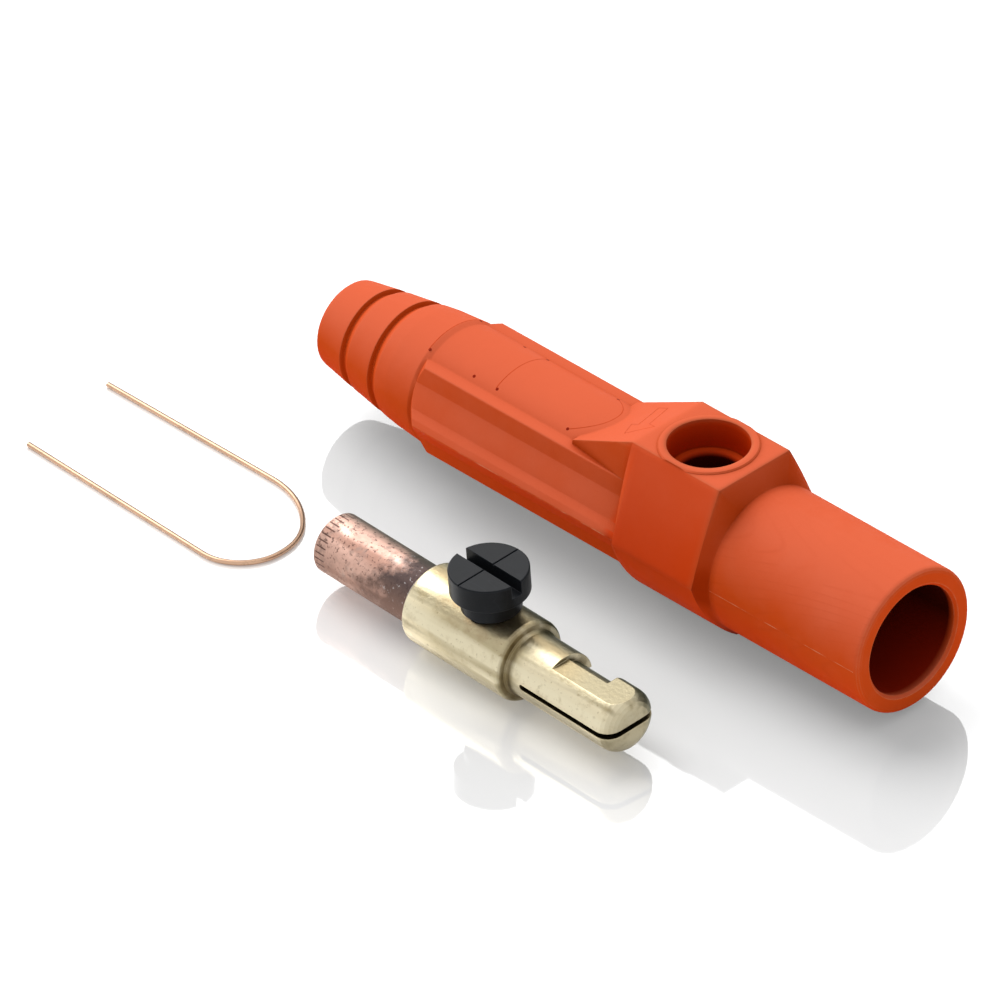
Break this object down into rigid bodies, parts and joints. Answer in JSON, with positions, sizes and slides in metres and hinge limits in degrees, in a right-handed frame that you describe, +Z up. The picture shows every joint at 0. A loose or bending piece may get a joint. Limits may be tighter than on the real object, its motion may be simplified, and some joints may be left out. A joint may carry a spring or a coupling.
{
  "type": "cam-lock plug",
  "caption": "Single-pole cam-lock plug taken apart: ribbed moulded sleeve with a screw port, brass contact with split cam nose, copper ferrule, lock screw and tie wire.",
  "frame": {"origin": "centre of the sleeve's mouth, on the sleeve's axis", "axes": "+X out of the mouth along the sleeve, +Z up through the screw port, +Y by the right hand"},
  "size_m": [0.162, 0.0652, 0.0307],
  "materials": {
    "sleeve_rubber": "matte moulded orange rubber",
    "contact_brass": "satin turned brass",
    "ferrule_copper": "dull oxidised copper",
    "screw_nylon": "black moulded nylon",
    "wire_copper": "bright drawn copper"
  },
  "bodies": {
    "kit": {"sleeve": "sleeve_rubber", "contact": "contact_brass", "ferrule": "ferrule_copper", "tie_wire": "wire_copper"},
    "lock_screw": {"lock_screw": "screw_nylon"}
  },
  "joints": [
    {"name": "lock_screw_turn", "type": "hinge", "parent": "kit", "child": "lock_screw", "pos_m": [-0.0562, -0.0402, -0.0069], "axis": [-0.0021, -0.0575, 0.9983], "range_deg": [0, 1710]}
  ]
}
